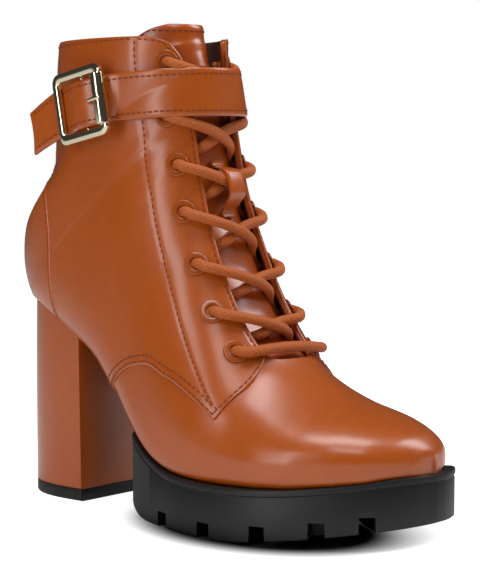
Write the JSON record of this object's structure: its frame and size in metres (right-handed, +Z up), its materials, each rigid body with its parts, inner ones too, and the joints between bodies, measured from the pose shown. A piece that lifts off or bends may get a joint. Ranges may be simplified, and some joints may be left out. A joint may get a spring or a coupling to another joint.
{
  "type": "lace up ankle boot",
  "caption": "High block-heeled ankle boot for the right foot with a lugged platform forefoot, a laced throat over a tongue, and a buckled ankle strap.",
  "frame": {"origin": "middle of the boot's footprint on the floor", "axes": "+X towards the toe, +Y towards the medial side, +Z up"},
  "size_m": [0.2398, 0.0974, 0.2264],
  "materials": {
    "leather": "smooth tan leather, semi-gloss, fine grain",
    "insole": "matt lining leather",
    "rubber": "matt black moulded rubber",
    "gold_metal": "polished pale gold plating",
    "enamel": "tan enamel, satin",
    "lace": "round braided cord, matt"
  },
  "bodies": {
    "root": {"upper": "leather", "tongue": "leather", "tongue_keeper": "leather", "heel_block": "leather", "strap": "leather", "buckle_tab": "leather", "insole": "insole", "outsole": "rubber", "heel_top_piece": "rubber", "buckle_frame": "gold_metal", "buckle_roller": "gold_metal", "buckle_prong": "gold_metal", "eyelet_lateral_1": "enamel", "eyelet_lateral_2": "enamel", "eyelet_lateral_3": "enamel", "eyelet_lateral_4": "enamel", "eyelet_lateral_5": "enamel", "eyelet_lateral_6": "enamel", "eyelet_lateral_7": "enamel", "eyelet_medial_1": "enamel", "eyelet_medial_2": "enamel", "eyelet_medial_3": "enamel", "eyelet_medial_4": "enamel", "eyelet_medial_5": "enamel", "eyelet_medial_6": "enamel", "eyelet_medial_7": "enamel", "lace_crossing_1": "lace", "lace_crossing_2": "lace", "lace_crossing_3": "lace", "lace_crossing_4": "lace", "lace_crossing_5": "lace", "lace_crossing_6": "lace", "lace_bar": "lace"}
  },
  "joints": []
}
